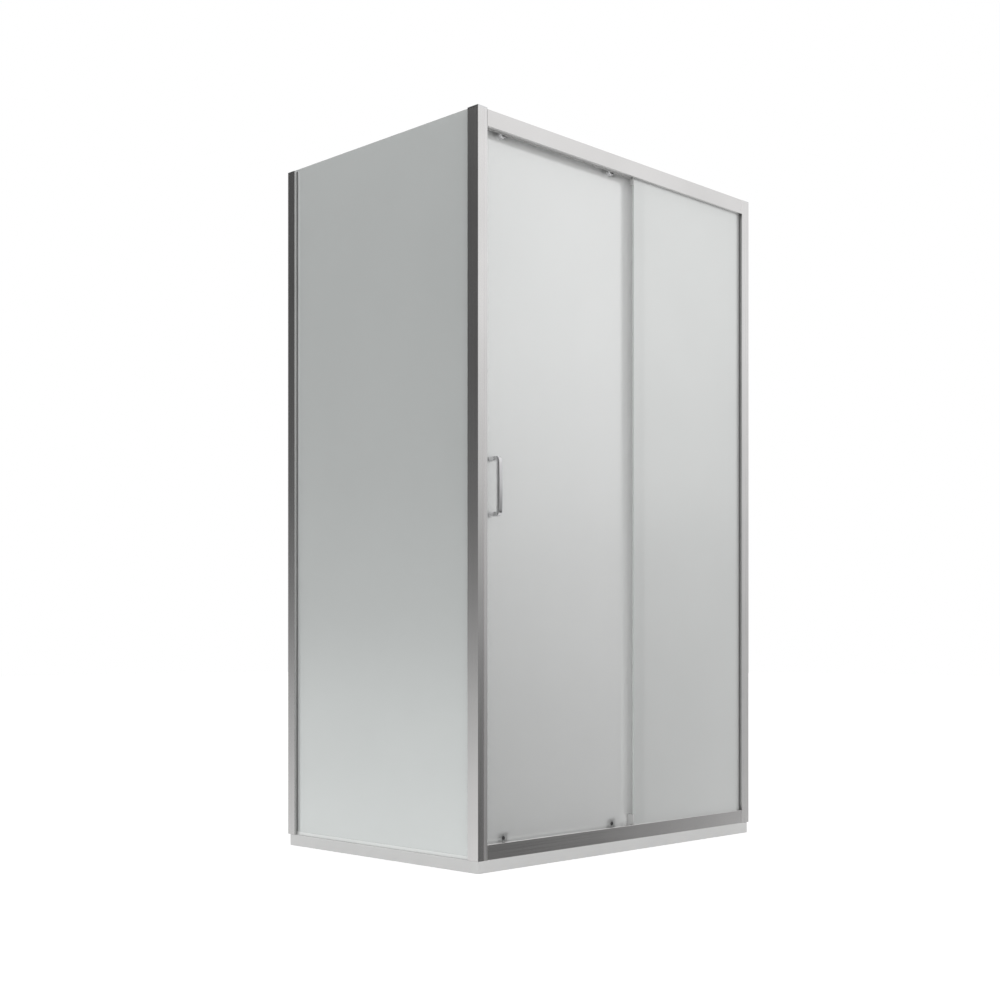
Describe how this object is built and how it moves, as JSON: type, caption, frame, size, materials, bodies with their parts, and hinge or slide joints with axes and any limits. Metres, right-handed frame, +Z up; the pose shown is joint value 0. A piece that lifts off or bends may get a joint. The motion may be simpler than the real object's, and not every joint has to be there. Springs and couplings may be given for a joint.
{
  "type": "shower enclosure",
  "caption": "Corner shower enclosure on a low tray: sliding glass door that rolls behind a fixed pane, fixed side pane, polished aluminium frame.",
  "frame": {"origin": "on the floor, under the middle of the whole enclosure's box", "axes": "+X along the front, from the glass corner to the wall on the right; +Y inward, from the front to the wall at the rear; +Z up"},
  "size_m": [1.194, 0.807, 1.989],
  "materials": {
    "safety_glass": "smooth, slightly grey",
    "polished_aluminium": "polished anodised",
    "chrome": "polished",
    "steel": "satin",
    "white_acrylic": "glossy",
    "grey_plastic": "satin",
    "dark_plastic": "satin",
    "grey_seal": "matt",
    "clear_seal": "translucent, satin"
  },
  "bodies": {
    "frame": {"shower_tray": "white_acrylic", "waste_flange": "white_acrylic", "waste_seal": "grey_seal", "waste_nut": "grey_plastic", "corner_post": "polished_aluminium", "corner_gasket": "grey_seal", "strike_profile": "polished_aluminium", "strike_seal": "clear_seal", "corner_cap": "chrome", "post_screws": "steel", "side_glass": "safety_glass", "side_bottom_seal": "clear_seal", "side_wall_profile": "polished_aluminium", "side_wall_gasket": "grey_seal", "side_wall_cap": "chrome", "side_wall_channel": "polished_aluminium", "side_locking_screws": "steel", "right_wall_profile": "polished_aluminium", "right_wall_gasket": "grey_seal", "right_wall_cap": "chrome", "right_wall_channel": "polished_aluminium", "right_locking_screws": "steel", "head_rail": "polished_aluminium", "sill_rail": "polished_aluminium", "rail_screws": "steel", "head_infill": "grey_plastic", "sill_infill": "grey_plastic", "door_stops": "grey_seal", "fixed_glass": "safety_glass", "fixed_glass_gasket": "grey_seal", "setting_blocks": "grey_plastic", "sill_clip": "grey_plastic", "head_clip": "grey_plastic"},
    "door": {"door_glass": "safety_glass", "door_edge_seal": "clear_seal", "door_overlap_seal": "clear_seal", "door_bottom_seal": "clear_seal", "carriage_plates": "steel", "knob_washers": "clear_seal", "roller_knobs": "chrome", "knob_nuts": "steel", "top_axles": "steel", "top_bearings": "steel", "bottom_housings": "grey_plastic", "bottom_axles": "steel", "bottom_bearings": "steel", "button_springs": "steel", "handle_outer": "chrome", "handle_inner": "chrome", "handle_washers": "clear_seal", "handle_screws": "steel"},
    "top_wheel_1": {"top_wheel_1": "grey_plastic"},
    "top_wheel_2": {"top_wheel_2": "grey_plastic"},
    "top_wheel_3": {"top_wheel_3": "grey_plastic"},
    "top_wheel_4": {"top_wheel_4": "grey_plastic"},
    "release_button_left": {"release_button_left": "dark_plastic"},
    "bottom_wheel_left": {"bottom_wheel_left": "grey_plastic"},
    "release_button_right": {"release_button_right": "dark_plastic"},
    "bottom_wheel_right": {"bottom_wheel_right": "grey_plastic"},
    "waste_cover": {"waste_cover": "chrome"}
  },
  "joints": [
    {"name": "door_slide", "type": "slide", "parent": "frame", "child": "door", "axis": [1, 0, 0], "range_m": [0, 0.46]},
    {"name": "top_wheel_1_spin", "type": "hinge", "parent": "door", "child": "top_wheel_1", "pos_m": [-0.4946, -0.349, 1.95945], "axis": [0, 1, 0], "continuous": true},
    {"name": "top_wheel_2_spin", "type": "hinge", "parent": "door", "child": "top_wheel_2", "pos_m": [-0.4626, -0.349, 1.95945], "axis": [0, 1, 0], "continuous": true},
    {"name": "top_wheel_3_spin", "type": "hinge", "parent": "door", "child": "top_wheel_3", "pos_m": [-0.0534, -0.349, 1.95945], "axis": [0, 1, 0], "continuous": true},
    {"name": "top_wheel_4_spin", "type": "hinge", "parent": "door", "child": "top_wheel_4", "pos_m": [-0.0214, -0.349, 1.95945], "axis": [0, 1, 0], "continuous": true},
    {"name": "bottom_wheel_left_spin", "type": "hinge", "parent": "door", "child": "bottom_wheel_left", "pos_m": [-0.4673, -0.349, 0.04545], "axis": [0, 1, 0], "continuous": true},
    {"name": "release_button_left_press", "type": "slide", "parent": "door", "child": "release_button_left", "axis": [0, 1, 0], "range_m": [0, 0.003], "stiffness_N_per_m": 400, "springref_m": -0.003},
    {"name": "bottom_wheel_right_spin", "type": "hinge", "parent": "door", "child": "bottom_wheel_right", "pos_m": [-0.0242, -0.349, 0.04545], "axis": [0, 1, 0], "continuous": true},
    {"name": "release_button_right_press", "type": "slide", "parent": "door", "child": "release_button_right", "axis": [0, 1, 0], "range_m": [0, 0.003], "stiffness_N_per_m": 400, "springref_m": -0.003},
    {"name": "waste_cover_lift", "type": "slide", "parent": "frame", "child": "waste_cover", "axis": [0, 0, 1], "range_m": [0, 0.06]}
  ],
  "couplings": [
    {"joint": "top_wheel_1_spin", "follows": "door_slide", "rad_per_m": 100},
    {"joint": "top_wheel_2_spin", "follows": "door_slide", "rad_per_m": 100},
    {"joint": "top_wheel_3_spin", "follows": "door_slide", "rad_per_m": 100},
    {"joint": "top_wheel_4_spin", "follows": "door_slide", "rad_per_m": 100},
    {"joint": "bottom_wheel_left_spin", "follows": "door_slide", "rad_per_m": 111.11},
    {"joint": "bottom_wheel_right_spin", "follows": "door_slide", "rad_per_m": 111.11}
  ]
}
